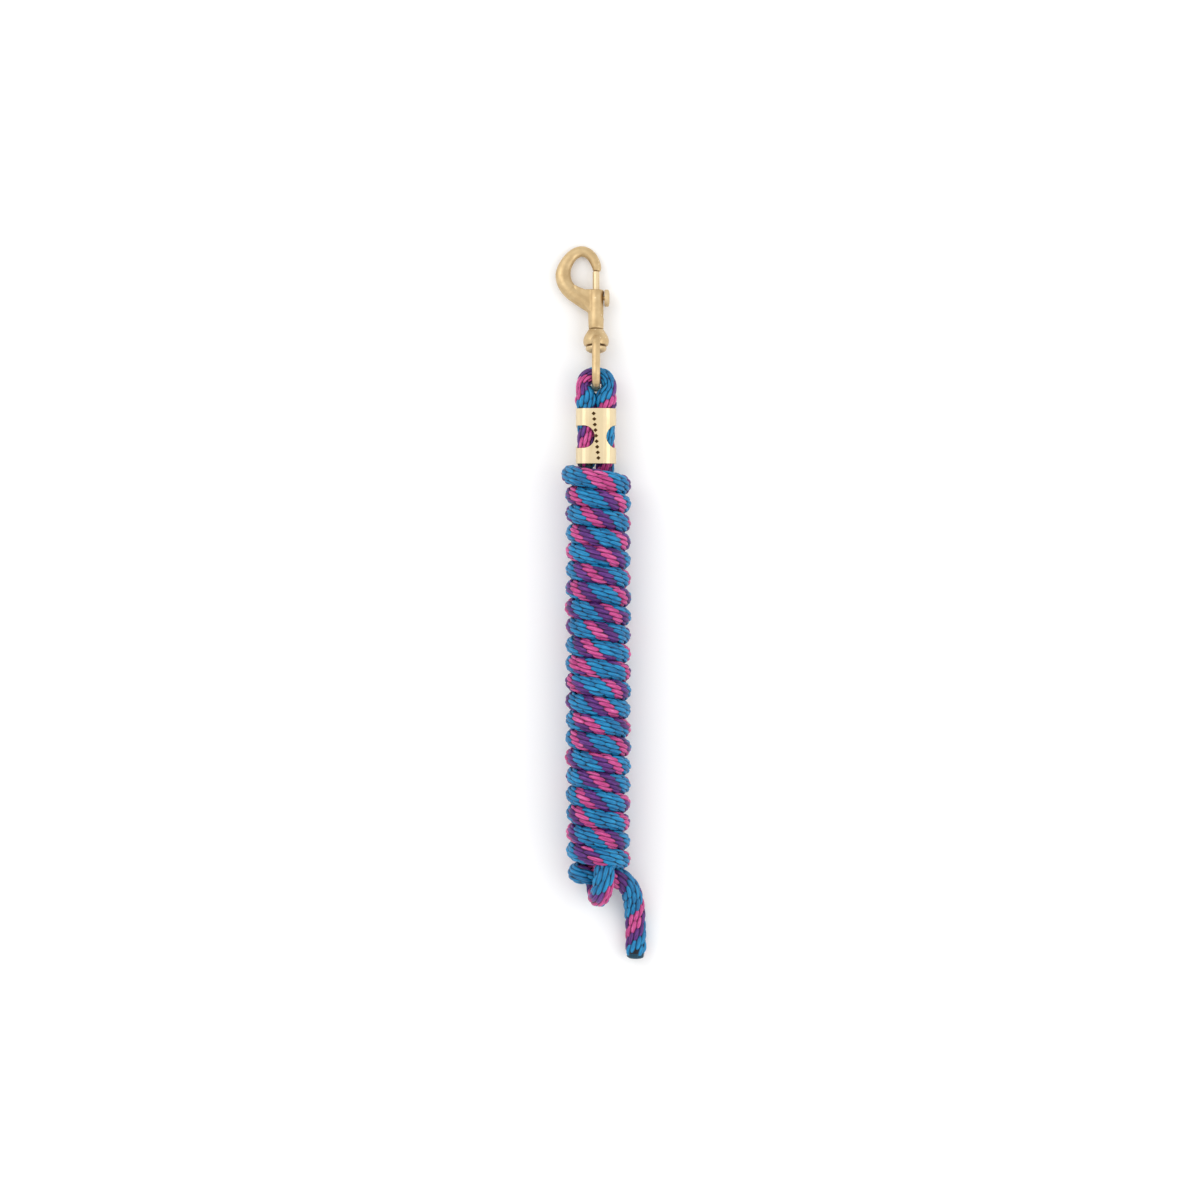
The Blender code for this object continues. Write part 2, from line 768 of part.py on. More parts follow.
def make_rope_bight(parts, root):
    """The core's fold, standing out of the hank's lower end round the tail."""
    rise = bight_height()
    centre = HANK_FOOT - TAIL_DOWN
    line = [(BIGHT_FRONT_X, HANK_FOOT - GAP, AXIS_Z + rise)]
    for n in range(13):
        angle = math.pi * n / 12
        share = n / 12
        line.append(
            (
                BIGHT_FRONT_X * (1 - share) + BIGHT_BACK_X * share,
                centre - rise * math.sin(angle),
                AXIS_Z + rise * math.cos(angle),
            )
        )
    line.append((BIGHT_BACK_X, HANK_FOOT - GAP, AXIS_Z - rise))
    bight = tube("rope_bight", smooth_line(line, 40), BIGHT_ROPE_D / 2)
    return place(bight, parts, root, ROPE)


def tail_route():
    """From behind the hank's left side, through the bight, and down on to the table."""
    y = HANK_FOOT - TAIL_DOWN
    from_axis = (
        (-0.0175, y + 0.0002, AXIS_Z - 0.0035),
        (-0.0090, y, AXIS_Z - 0.0006),
        (0.0, y, AXIS_Z),
        (0.0085, y - 0.0006, AXIS_Z - 0.0006),
        (0.0165, y - 0.0038, AXIS_Z - 0.0024),
        (0.0225, y - 0.0100, AXIS_Z - 0.0056),
        (0.0259, y - 0.0190, AXIS_Z - 0.0100),
        (0.0272, y - 0.0290, AXIS_Z - 0.0138),
        (0.0276, y - 0.0390, TAIL_END_Z),
        (0.0278, y - 0.0500, TAIL_END_Z),
        (0.0276, y - 0.0640, TAIL_END_Z),
    )
    return [(HANK_X + x, y, z) for x, y, z in from_axis]


def make_rope_tail(parts, root):
    tail = tube("rope_tail", smooth_line(tail_route(), 34), ROPE_D / 2)
    return place(tail, parts, root, ROPE)


def resting_lean():
    """Angle at which the snap leans down from its pivot for the hook to lie on the table."""
    _, crown_y, half = HOOK_LINE[3]
    reach = BARREL_TOP + crown_y
    low, high = 0.0, math.radians(40)
    for _ in range(50):
        lean = (low + high) / 2
        below = math.hypot(
            half * math.sin(lean), half * HOOK_DEPTH_RATIO * math.cos(lean)
        )
        if FRONT_Z - reach * math.sin(lean) - below > TABLE_GAP:
            low = lean
        else:
            high = lean
    return low


def centre_on_table(root, parts):
    """Moves everything so that the middle of the whole object's box is at X = Y = 0."""
    bpy.context.view_layer.update()
    seen = bpy.context.evaluated_depsgraph_get()
    places = []
    for piece in parts.objects:
        shown = piece.evaluated_get(seen)
        mesh = shown.to_mesh()
        places += [shown.matrix_world @ vert.co for vert in mesh.vertices]
        shown.to_mesh_clear()
    for n in range(2):
        low = min(p[n] for p in places)
        high = max(p[n] for p in places)
        root.location[n] = -(low + high) / 2
    bpy.context.view_layer.update()


def main():
    clear_scene()
    parts = new_collection("lead_rope")
    cutters = new_collection("lead_rope_cutters")
    root = bpy.data.objects.new("lead_rope_middle", None)
    cutters.objects.link(root)
    snap_frame = bpy.data.objects.new("snap_pivot", None)
    cutters.objects.link(snap_frame)
    snap_frame.parent = root
    snap_frame.location = (0, LOOP_R, FRONT_Z)
    snap_frame.rotation_euler = (-resting_lean(), 0, 0)
    bpy.context.view_layer.update()

    make_snap_body(parts, cutters, snap_frame)
    make_bolt(parts, cutters, snap_frame)
    make_stud(parts, snap_frame)
    make_spring(parts, snap_frame)
    make_rivet(parts, snap_frame)
    make_swivel_eye(parts, cutters, snap_frame)
    make_ferrule(parts, cutters, root)
    make_rope_eye(parts, root)
    make_rope_hank(parts, cutters, root)
    make_rope_bight(parts, root)
    make_rope_tail(parts, root)
    centre_on_table(root, parts)


main()
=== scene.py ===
# %% [markdown]
# # A lead rope, packed as it is sold
#
# A lead rope is a thick braided rope with a bolt snap at one end, for leading a horse.
# Here about three metres of it are put away: the rope runs down to a bight, back up to
# the top, and is then wound round those two strands, and its free end goes through the
# bight. The machined pieces come from the CAD model and never move. The rope is soft, so
# its four CAD solids are replaced by one long braid made of separate stitches.

# %% The frame
import math

import bpy
import numpy as np
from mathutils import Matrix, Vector
from mathutils.bvhtree import BVHTree


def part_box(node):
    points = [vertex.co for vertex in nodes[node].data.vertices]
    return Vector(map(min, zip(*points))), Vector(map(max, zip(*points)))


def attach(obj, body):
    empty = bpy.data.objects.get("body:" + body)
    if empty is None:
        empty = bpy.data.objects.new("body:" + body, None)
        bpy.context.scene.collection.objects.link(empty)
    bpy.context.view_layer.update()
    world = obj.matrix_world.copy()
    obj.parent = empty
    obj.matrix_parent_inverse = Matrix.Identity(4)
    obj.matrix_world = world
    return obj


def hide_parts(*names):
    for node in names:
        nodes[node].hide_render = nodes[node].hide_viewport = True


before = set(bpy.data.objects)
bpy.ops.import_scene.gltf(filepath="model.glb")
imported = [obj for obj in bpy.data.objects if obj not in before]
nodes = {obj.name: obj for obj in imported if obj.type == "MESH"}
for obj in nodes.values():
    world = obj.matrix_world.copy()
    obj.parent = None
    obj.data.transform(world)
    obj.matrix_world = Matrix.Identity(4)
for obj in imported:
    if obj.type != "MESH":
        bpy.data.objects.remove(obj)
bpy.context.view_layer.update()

# %% [markdown]
# ## Camera
#
# The rope lies on a table and is looked at from straight above, with the snap towards the
# top of the picture. A long lens far away keeps the sides of the round pieces out of
# sight. An orthographic camera would do the same, but it has no perspective at all.

# %% The camera
LENS_MM, SENSOR_MM = 120, 36
FRAME_WIDTH = 0.891  # what the picture takes in at the height of the rope's middle
PICTURE_MIDDLE = (-0.00045, 0.0015)

hank_low, hank_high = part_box("rope_hank")
AXIS_X = (hank_low.x + hank_high.x) / 2
HANK_R = (hank_high.x - hank_low.x) / 2
AXIS_Z = hank_high.z - HANK_R
HANK_TOP, HANK_FOOT = hank_high.y, hank_low.y

camera_data = bpy.data.cameras.new("camera")
camera_data.lens, camera_data.sensor_width = LENS_MM, SENSOR_MM
camera = bpy.data.objects.new("camera", camera_data)
camera.location = (*PICTURE_MIDDLE, AXIS_Z + FRAME_WIDTH * LENS_MM / SENSOR_MM)
bpy.context.scene.collection.objects.link(camera)
bpy.context.scene.camera = camera
print("camera height, m:", round(camera.location.z, 3))

# %% [markdown]
# ## The way the rope takes
#
# One line runs from the cut end inside the ferrule to the free end: up and over the
# swivel eye, down through the ferrule, down the middle of the hank, round the bight, back
# up, round and round, and out through the bight. A curve object could carry a bevel, but
# the stitches need to know where they are along the rope and round it, so the line is
# worked out as an array with a frame of three directions at each point. Each point also
# holds the rope's half width and half depth, because the rope is squeezed in the eye, and
# less in the wraps.

# %% Points of the way
ferrule_low, ferrule_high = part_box("ferrule")
FERRULE_DX = (ferrule_low.x + ferrule_high.x) / 2 - AXIS_X  # the ferrule lies beside the hank's axis
LEG_LENGTH = 0.0162  # from the ferrule's top to the middle of the eye's arch
ARCH_Y = ferrule_high.y + LEG_LENGTH
LEG_X = 0.0072
LOOP_R = 0.00965
LOOP_STRAIGHT = 0.006
CORE_DROP = 0.0053
# Half width and half depth of the rope where it is squeezed in different ways
ARCH_HALF, SIDE_HALF, MEET_HALF, LEG_HALF = (
    (0.0058, 0.0080), (0.0079, 0.0080), (0.0084, 0.0080), (0.0069, 0.0084))
THROAT_HALF = (0.0072, 0.0082)
CORE_HALF, WRAP_HALF, BIGHT_HALF = (0.0074, 0.0052), (0.0073, 0.0072), (0.0081, 0.0068)
TAIL_HALF, END_HALF = (0.0079, 0.0077), (0.0087, 0.0079)

way = []


def go(dx, y, dz, half):
    """One point of the way, from the hank's axis, with the rope's half width and depth."""
    way.append((AXIS_X + dx, y, AXIS_Z + dz, *half))


def go_eye(dx, y, half):
    """One point of the eye or its legs, from the ferrule's axis."""
    go(FERRULE_DX + dx, y, -CORE_DROP, half)


# The eye, from the cut end up and over, and back down into the hank
go_eye(-LEG_X, HANK_TOP - 0.0015, LEG_HALF)
go_eye(-LEG_X, ferrule_low.y + 0.020, LEG_HALF)
go_eye(-0.0069, ferrule_high.y - 0.001, THROAT_HALF)
go_eye(-0.0073, ferrule_high.y + 0.0045, MEET_HALF)
go_eye(-LOOP_R + 0.0019, ARCH_Y - LOOP_STRAIGHT, SIDE_HALF)
for turn in range(0, 181, 15):
    a = math.radians(turn)
    go_eye(-LOOP_R * math.cos(a), ARCH_Y + LOOP_R * math.sin(a), ARCH_HALF)
go_eye(LOOP_R - 0.0019, ARCH_Y - LOOP_STRAIGHT, SIDE_HALF)
go_eye(0.0073, ferrule_high.y + 0.0045, MEET_HALF)
go_eye(0.0069, ferrule_high.y - 0.001, THROAT_HALF)
go_eye(LEG_X, ferrule_low.y + 0.020, LEG_HALF)
go_eye(LEG_X - 0.0004, ferrule_low.y + 0.003, LEG_HALF)
go(0.0045, HANK_TOP - 0.006, -CORE_DROP, CORE_HALF)
go(0.0004, HANK_TOP - 0.020, -CORE_DROP, CORE_HALF)
for share in np.linspace(0.12, 0.88, 9):
    go(0, HANK_TOP + share * (HANK_FOOT - HANK_TOP), -CORE_DROP, CORE_HALF)
eye_points = len(way)

# The bight: over the tail in front, and under it behind
TAIL_Y = HANK_FOOT - 0.0083  # where the tail passes through it
BIGHT_REACH, BIGHT_RISE = 0.0168, 0.0150
BIGHT_X = (-0.0016, 0.0004, 0.0046)  # at the back, at the bottom and in front
go(-0.0008, HANK_FOOT + 0.010, -0.0060, CORE_HALF)
go(-0.0014, HANK_FOOT + 0.001, -0.0098, BIGHT_HALF)
for turn in range(0, 181, 20):
    a = math.radians(turn)
    go(np.interp(turn, (0, 90, 180), BIGHT_X), TAIL_Y - BIGHT_REACH * math.sin(a),
       -BIGHT_RISE * math.cos(a) * (0.9 if turn < 90 else 1), BIGHT_HALF)
go(0.0044, HANK_FOOT + 0.0005, 0.0116, BIGHT_HALF)
go(0.0026, HANK_FOOT + 0.010, 0.0066, CORE_HALF)
for share in np.linspace(0.88, 0.22, 8):
    go(0, HANK_TOP + share * (HANK_FOOT - HANK_TOP), CORE_DROP, CORE_HALF)

# Out of the core at the top, over to the left side
go(-0.0016, HANK_TOP - 0.0350, 0.0046, CORE_HALF)
go(-0.0052, HANK_TOP - 0.0240, 0.0024, CORE_HALF)
go(-0.0104, HANK_TOP - 0.0150, -0.0016, WRAP_HALF)
go(-0.0156, HANK_TOP - 0.0090, -0.0058, WRAP_HALF)
go(-0.0196, HANK_TOP - 0.0070, -0.0052, WRAP_HALF)
wrap_start = len(way)

# The wraps: 0 degrees is the left side, 90 the top one as the rope lies
WRAP_R, LOOSE_R = 0.0174, 0.0039  # the first quarter turn stands out by LOOSE_R
FIRST_LEFT_Y, LAST_LEFT_Y = HANK_TOP - 0.0083, HANK_FOOT + 0.0093
LAST_TURN, WRAP_STEP = 20, 15
PITCH = (FIRST_LEFT_Y - LAST_LEFT_Y) / LAST_TURN
rng = np.random.default_rng(7)
uneven_r = rng.normal(0, 0.00034, LAST_TURN + 3)
uneven_y = rng.normal(0, 0.00026, LAST_TURN + 3)
for turn in range(WRAP_STEP, 360 * LAST_TURN + 181, WRAP_STEP):
    k, a = turn / 360, math.radians(turn)
    near = int(k)
    blend = k - near
    r = WRAP_R + LOOSE_R * max(0.0, 1 - k / 0.5) ** 1.3
    r += uneven_r[near] * (1 - blend) + uneven_r[near + 1] * blend
    y = FIRST_LEFT_Y - PITCH * k + uneven_y[near] * (1 - blend) + uneven_y[near + 1] * blend
    y += 0.0012 * max(0.0, 1 - k / 0.4)
    go(-r * math.cos(a), y, r * math.sin(a), WRAP_HALF)
wrap_end = len(way)

# The last half turn at the back, through the bight and out along the table
LAST_RIGHT_Y = FIRST_LEFT_Y - PITCH * (LAST_TURN + 0.5)
go(0.0150, LAST_RIGHT_Y - 0.0012, -0.0087, WRAP_HALF)
go(0.0084, LAST_RIGHT_Y - 0.0022, -0.0149, WRAP_HALF)
go(0.0000, LAST_RIGHT_Y - 0.0036, -0.0168, WRAP_HALF)
go(-0.0080, LAST_RIGHT_Y - 0.0062, -0.0155, WRAP_HALF)
go(-0.0134, TAIL_Y + 0.0020, -0.0108, WRAP_HALF)
go(-0.0156, TAIL_Y + 0.0008, -0.0040, WRAP_HALF)
go(-0.0130, TAIL_Y, 0.0012, WRAP_HALF)
go(-0.0070, TAIL_Y - 0.0006, 0.0012, WRAP_HALF)
go(0.0000, TAIL_Y - 0.0006, 0.0004, WRAP_HALF)
go(0.0085, TAIL_Y - 0.0010, -0.0006, TAIL_HALF)
go(0.0165, TAIL_Y - 0.0040, -0.0024, TAIL_HALF)
go(0.0225, TAIL_Y - 0.0100, -0.0056, TAIL_HALF)
go(0.0257, TAIL_Y - 0.0190, -0.0100, TAIL_HALF)
go(0.0271, TAIL_Y - 0.0290, -0.0138, TAIL_HALF)
go(0.0278, TAIL_Y - 0.0390, 0.0078 - AXIS_Z, TAIL_HALF)
go(0.0280, TAIL_Y - 0.0500, 0.0078 - AXIS_Z, TAIL_HALF)
go(0.0278, TAIL_Y - 0.0622, 0.0079 - AXIS_Z, END_HALF)
print("points of the way:", len(way))

# %% [markdown]
# ## One smooth line with a frame
#
# A Catmull-Rom spline passes through every point. It is read at even steps, so that a
# place along the rope is a length in metres. The frame's first direction points away from
# the hank's axis in the wraps. Elsewhere it is carried along the line with as little
# twist as possible, so that the braid never spins on the spot.

# %% The line and its frame
STEP = 0.0008


def through(points, per_span=24):
    """A Catmull-Rom spline through rows of numbers."""
    p = np.vstack([2 * points[0] - points[1], points, 2 * points[-1] - points[-2]])
    t = np.linspace(0, 1, per_span, endpoint=False)[:, None]
    out = []
    for i in range(1, len(p) - 2):
        a, b, c, d = p[i - 1], p[i], p[i + 1], p[i + 2]
        out.append(0.5 * (2 * b + (c - a) * t + (2 * a - 5 * b + 4 * c - d) * t ** 2
                          + (3 * b - a - 3 * c + d) * t ** 3))
    return np.vstack([*out, p[-2][None]])


def evenly(rows, step):
    """The same line, read at even steps of its length, and where each row of it was."""
    gone = np.r_[0, np.cumsum(np.linalg.norm(np.diff(rows[:, :3], axis=0), axis=1))]
    at = np.arange(0, gone[-1], step)
    return np.stack([np.interp(at, gone, rows[:, k]) for k in range(rows.shape[1])], 1), gone


SPAN = 24
fine = through(np.array(way), SPAN)
line, gone = evenly(fine, STEP)
ROPE_LENGTH = STEP * (len(line) - 1)
wraps_from, wraps_to = gone[wrap_start * SPAN], gone[(wrap_end - 1) * SPAN]
bight_from = gone[eye_points * SPAN]
along = np.arange(len(line)) * STEP
tangent = np.gradient(line[:, :3], axis=0)
tangent /= np.linalg.norm(tangent, axis=1)[:, None]

outward = np.zeros_like(tangent)
outward[:, 0], outward[:, 2] = line[:, 0] - AXIS_X, line[:, 2] - AXIS_Z


def squared(direction, t):
    """direction with its share along t taken out, at length 1."""
    d = direction - np.dot(direction, t) * t
    return d / np.linalg.norm(d)


first = int(wraps_from / STEP)
last = int(wraps_to / STEP)
side = np.zeros_like(tangent)
for i in range(first, last + 1):
    side[i] = squared(outward[i], tangent[i])
for i in range(last + 1, len(line)):
    side[i] = squared(side[i - 1], tangent[i])
for i in range(first - 1, -1, -1):
    side[i] = squared(side[i + 1], tangent[i])
across = np.cross(tangent, side)
print("rope length, m:", round(ROPE_LENGTH, 3), "of which wraps:", round(wraps_to - wraps_from, 3))

# %% [markdown]
# ## The braid
#
# A solid braid shows twelve rows of stitches, like grains of rice laid end to end, and
# each row starts a third of a stitch after its neighbour. The rows lean a little to the
# right round the rope. Each stitch is a small pillow of its own: long, crowned, with its
# ends and sides going down between its neighbours into painted shade, over a core painted
# near-black as shadow. A texture or a displacement could draw that on a plain tube, but at
# the rope's edge the outline would stay smooth, and the outline is what shows that it is a braid.
#
# The stitches that lie against the hank's core are never seen, so they are coarser.

# %% The shape of one stitch
ROWS = 12
STITCH = 0.0094  # from one stitch of a row to the next
TURNS_PER_M = 6.3  # how far a row goes round the rope
# The core tube is coloured near-black as painted shadow between the stitches.
CORE = 0.80  # the dark core, as a share of the rope's half width


def stitch_grid(long_steps, wide_steps):
    """(along, across, height, depth in the gap for the painted shade) of the points of one stitch, each
    -1 to 1 or 0 to 1.
    """
    u = np.linspace(-1, 1, long_steps)
    v = np.linspace(-1, 1, wide_steps)
    u, v = np.meshgrid(np.sign(u) * np.abs(u) ** 0.9, v, indexing="ij")
    narrow = 1 - 0.42 * np.abs(u) ** 3
    height = 1 - 0.25 * np.abs(u) ** 3.0 - 0.17 * np.abs(v) ** 2.2
    # how far a point lies into the gap between stitches, which sets the painted shade there
    gap_shade = np.clip(np.maximum(np.abs(u) ** 4, np.abs(v) ** 3), 0, 1)
    return u.ravel(), (v * narrow).ravel(), height.ravel(), gap_shade.ravel(), v.ravel()


def grid_faces(long_steps, wide_steps):
    """The four corners of each face of such a grid."""
    i = np.arange(long_steps - 1)[:, None] * wide_steps + np.arange(wide_steps - 1)
    i = i.ravel()
    return np.stack([i, i + wide_steps, i + wide_steps + 1, i + 1], 1)


FINE_GRID, COARSE_GRID = (9, 5), (4, 3)
print("faces of a stitch:", len(grid_faces(*FINE_GRID)))


# %% [markdown]
# ## From the rope's own coordinates to the table
#
# A place on the rope is a length along it, an angle round it and a share of its half
# width. The way's frame turns that into a point. The table is flat and the rope is soft,
# so whatever would go under the table is pressed up to it.

# %% Points on the rope
def on_rope(s, angle, share):
    """The points at length s, angle round the rope and share of its half width."""
    s = np.clip(s, 0, along[-1])
    read = lambda table: np.stack([np.interp(s, along, table[:, k]) for k in range(table.shape[1])], 1)
    centre = read(line)
    n, b = read(side), read(across)
    out = np.cos(angle)[:, None] * n + np.sin(angle)[:, None] * b
    half_wide, half_deep = centre[:, 3] * share, centre[:, 4] * share
    moved = out * half_wide[:, None]
    moved[:, 2] += out[:, 2] * (half_deep - half_wide)
    p = centre[:, :3] + moved
    low = 0.0012
    p[:, 2] = np.where(p[:, 2] < low, low * np.exp((p[:, 2] - low) / low), p[:, 2])
    return p


# %% [markdown]
# ## Which yarn is where
#
# Twelve strands make the braid: six blue, then two violet, three pink and one more violet.
# As the braid goes on, each strand moves round the rope, so the colours climb it like the
# stripes of a barber's pole, once in about 34 mm. Where the rope is not pulled tight,
# as at the free end, the stripe is longer.

# %% The order of the strands
ORDER = "BBBBBBVVKKKV"
FREE_STRIPE = 0.0415
# How many turns the stripe gains from the front of each wrap to the front of the next
GAINS = (3.667, 3.438, 3.333, 3.438, 3.312, 3.313, 3.291, 3.23, 3.208, 3.146, 3.312,
         3.229, 3.355, 3.208, 3.333, 3.229, 3.23, 3.124, 3.396, 3.459)
FIRST_FRONT_STRIPE = -0.833
front_s = [gone[(wrap_start + round((90 + 360 * k) / WRAP_STEP) - 1) * SPAN]
           for k in range(LAST_TURN + 1)]
front_turns = FIRST_FRONT_STRIPE + np.r_[0, np.cumsum(GAINS)]


def facing_up(s):
    """The angle round the rope that faces straight up at length s."""
    i = int(round(s / STEP))
    return math.atan2(across[i][2], side[i][2])


PINK_MIDDLE = 9.5  # the strand in the middle of the pink
# It faces up here in the eye, and here on the tail.
eye_pink_s = gone[4 * SPAN] + 0.0112
tail_pink_s = gone[(len(way) - 4) * SPAN] + 0.0065
eye_turns = facing_up(eye_pink_s) / (2 * math.pi) - PINK_MIDDLE / ROWS
knots = [(eye_pink_s + n * FREE_STRIPE, eye_turns + n) for n in (-1, 0, 2)]
tail_turns = facing_up(tail_pink_s) / (2 * math.pi) - PINK_MIDDLE / ROWS
expected = front_turns[-1] + (tail_pink_s - front_s[-1]) / FREE_STRIPE
tail_turns += round(expected - tail_turns)
eye_end = knots[-1]
jump = round(front_turns[0] - (front_s[0] - eye_end[0]) / FREE_STRIPE - eye_end[1])
knots = [(a, b + jump) for a, b in knots] + list(zip(front_s, front_turns)) + [
    (tail_pink_s, tail_turns), (tail_pink_s + FREE_STRIPE, tail_turns + 1)]

# In front of the bight a blue strand faces up, and so does one on the lobe beside it
for at, strand in ((gone[(eye_points + 11) * SPAN], 3.5), (gone[(wrap_end + 5) * SPAN], 2.5)):
    expected = np.interp(at, [k[0] for k in knots], [k[1] for k in knots])
    turns = facing_up(at) / (2 * math.pi) - strand / ROWS
    knots = sorted(knots + [(at, turns + round(expected - turns))])
stripe_turns = np.interp(along, [k[0] for k in knots], [k[1] for k in knots])
print("stripe turns in all:", round(stripe_turns[-1] - stripe_turns[0], 1))


def strand_at(s, angle):
    """Which of the twelve strands comes up at length s and angle round the rope."""
    turns = angle / (2 * math.pi) - np.interp(s, along, stripe_turns)
    return np.floor(ROWS * (turns % 1)).astype(int) % ROWS


# %% All the stitches
# Where a row faces the core it is hidden, and so is the rope for some way inside the hank
FACING_CORE = -0.45
HIDDEN_DOWN, HIDDEN_UP = (0.26, 0.01), (0.27, 0.035)  # before the bight and before the wraps
STITCH_HALF, STITCH_WIDE = 0.62, 1.16  # over half a stitch and half a row, so that they lap
END_TAPER, END_SHARE = 0.005, 0.74
rng = np.random.default_rng(11)
verts, faces, colours = [], [], []
lays, tones, gap_shades = [], [], []
count = 0
for row in range(ROWS):
    starts = np.arange(STITCH * (0.5 + (row % 3) / 3), ROPE_LENGTH - STITCH * 0.35, STITCH)
    for s0 in starts:
        s0 += rng.normal(0, 0.0003)
        a0 = 2 * math.pi * (row / ROWS + TURNS_PER_M * s0)
        inward = wraps_from < s0 < wraps_to and math.cos(a0) < FACING_CORE
        hidden = inward or any(
            end - far < s0 < end - near
            for end, (far, near) in ((bight_from, HIDDEN_DOWN), (wraps_from, HIDDEN_UP)))
        grid = COARSE_GRID if hidden else FINE_GRID
        u, v, height, gap_shade, flat_v = stitch_grid(*grid)
        half = STITCH_HALF * STITCH * (1 + rng.normal(0, 0.03))
        s = s0 + u * half
        angle = (2 * math.pi * (row / ROWS + TURNS_PER_M * s)
                 + v * math.pi / ROWS * STITCH_WIDE + rng.normal(0, 0.02) * u)
        share = height * (1 + rng.normal(0, 0.012))
        to_end = np.clip((ROPE_LENGTH - s) / END_TAPER, 0, 1)
        # The last stitches close in on the melted end
        share = share * (END_SHARE + (1 - END_SHARE) * np.sqrt(to_end))
        verts.append(on_rope(s, angle, share))
        faces.append(grid_faces(*grid) + count)
        count += len(u)
        strand = strand_at(np.array([s0]), np.array([a0]))[0]
        colours.append(np.full(len(faces[-1]), "BVK".index(ORDER[strand])))
        shift = rng.uniform(0, 50, 2)
        lays.append(np.stack([flat_v * 0.002 + shift[0], u * half + shift[1]], 1))
        tones.append(np.full(len(u), rng.uniform(-1, 1)))
        gap_shades.append(gap_shade)
print("stitches:", len(verts), "triangles:", 2 * sum(len(f) for f in faces))


# %% [markdown]
# ## The core and the ends
#
# Under the stitches lies a plain tube, coloured near-black as painted shadow, which shows only between
# them.
# The free end was cut with a hot knife, so its yarns are melted into a blunt cap, coloured dark teal.

# %% The core and its caps
CORE_SIDES = 14
core_s = np.arange(0.0006, ROPE_LENGTH - 0.0006, 0.0028)
ring = np.linspace(0, 2 * math.pi, CORE_SIDES, endpoint=False)
core = on_rope(np.repeat(core_s, CORE_SIDES), np.tile(ring, len(core_s)),
               np.full(CORE_SIDES * len(core_s), CORE))
i = np.arange(len(core_s) - 1)[:, None] * CORE_SIDES + np.arange(CORE_SIDES)
j = np.arange(len(core_s) - 1)[:, None] * CORE_SIDES + (np.arange(CORE_SIDES) + 1) % CORE_SIDES
core_faces = np.stack([i.ravel(), j.ravel(), j.ravel() + CORE_SIDES, i.ravel() + CORE_SIDES], 1)
verts.append(core)
faces.append(core_faces + count)
count += len(core)
colours.append(np.full(len(core_faces), 3))
lays.append(np.zeros((len(core), 2)))
tones.append(np.zeros(len(core)))
# the core lies wholly in painted shade
gap_shades.append(np.ones(len(core)))


def cap(at_end, sides=28, rings=8, bulge=0.0026):
    """A blunt melted end: rings that close over the rope's cut, a little uneven."""
    global count
    s_end = ROPE_LENGTH - 0.0002 if at_end else 0.0002
    sign = 1 if at_end else -1
    angle = np.linspace(0, 2 * math.pi, sides, endpoint=False)
    rows = []
    t = np.array([np.interp(s_end, along, tangent[:, k]) for k in range(3)])
    for k in range(rings):
        lift = k / (rings - 1)
        share = 0.74 * math.cos(lift * math.pi / 2) ** 0.62 + 0.002
        uneven = 1 + 0.025 * np.sin(5 * angle + 2 * k) + 0.02 * np.sin(11 * angle + k)
        p = on_rope(np.full(sides, s_end), angle, share * uneven)
        rows.append(p + sign * t * (bulge * math.sin(lift * math.pi / 2) - 0.0016 * (k == 0)))
    p = np.vstack(rows)
    p[:, 2] = np.maximum(p[:, 2], 0.0002)
    i = np.arange(rings - 1)[:, None] * sides + np.arange(sides)
    j = np.arange(rings - 1)[:, None] * sides + (np.arange(sides) + 1) % sides
    f = np.stack([i.ravel(), j.ravel(), j.ravel() + sides, i.ravel() + sides], 1)
    if not at_end:
        f = f[:, ::-1]
    verts.append(p)
    faces.append(f + count)
    count += len(p)
    colours.append(np.full(len(f), 4))
    lays.append(p[:, [0, 2]])
    tones.append(np.zeros(len(p)))
    gap_shades.append(np.full(len(p), 0.3))


cap(True)
cap(False)

# %% [markdown]
# ## Where the ring presses into the eye
#
# The eye is drawn up tight round the swivel ring, and the rope is softer than brass, so it
# gives way where the ring lies against it. Each point of the braid that would be inside
# the ring's wire is moved out to just clear of it, by the shortest way.

# %% Pressing the braid off the ring
PRESS_GAP, PRESS_REACH = 0.00015, 0.004
ring_mesh = nodes["swivel_eye"].data
ring_place = nodes["swivel_eye"].matrix_world
ring_tree = BVHTree.FromPolygons([ring_place @ v.co for v in ring_mesh.vertices],
                                 [tuple(f.vertices) for f in ring_mesh.polygons])
ring_low, ring_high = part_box("swivel_eye")
rope_points = np.vstack(verts)
close = np.all((rope_points > np.array(ring_low) - PRESS_REACH)
               & (rope_points < np.array(ring_high) + PRESS_REACH), axis=1)
pressed, deepest = 0, 0.0
for i in np.nonzero(close)[0]:
    where, normal, _, _ = ring_tree.find_nearest(Vector(rope_points[i]), PRESS_REACH)
    if where is None:
        continue
    outside = (Vector(rope_points[i]) - where).dot(normal)
    if outside < PRESS_GAP:
        rope_points[i] = where + normal * PRESS_GAP
        pressed += 1
        deepest = max(deepest, -outside)
print("points pressed off the ring:", pressed, "deepest, mm:", round(1000 * deepest, 2))

# %% The rope as one mesh
rope_mesh = bpy.data.meshes.new("braided_rope")
rope_mesh.from_pydata(rope_points.tolist(), [], np.vstack(faces).tolist())
rope_mesh.polygons.foreach_set("use_smooth", np.ones(len(rope_mesh.polygons), bool))
rope_mesh.polygons.foreach_set("material_index", np.concatenate(colours).astype(np.int32))
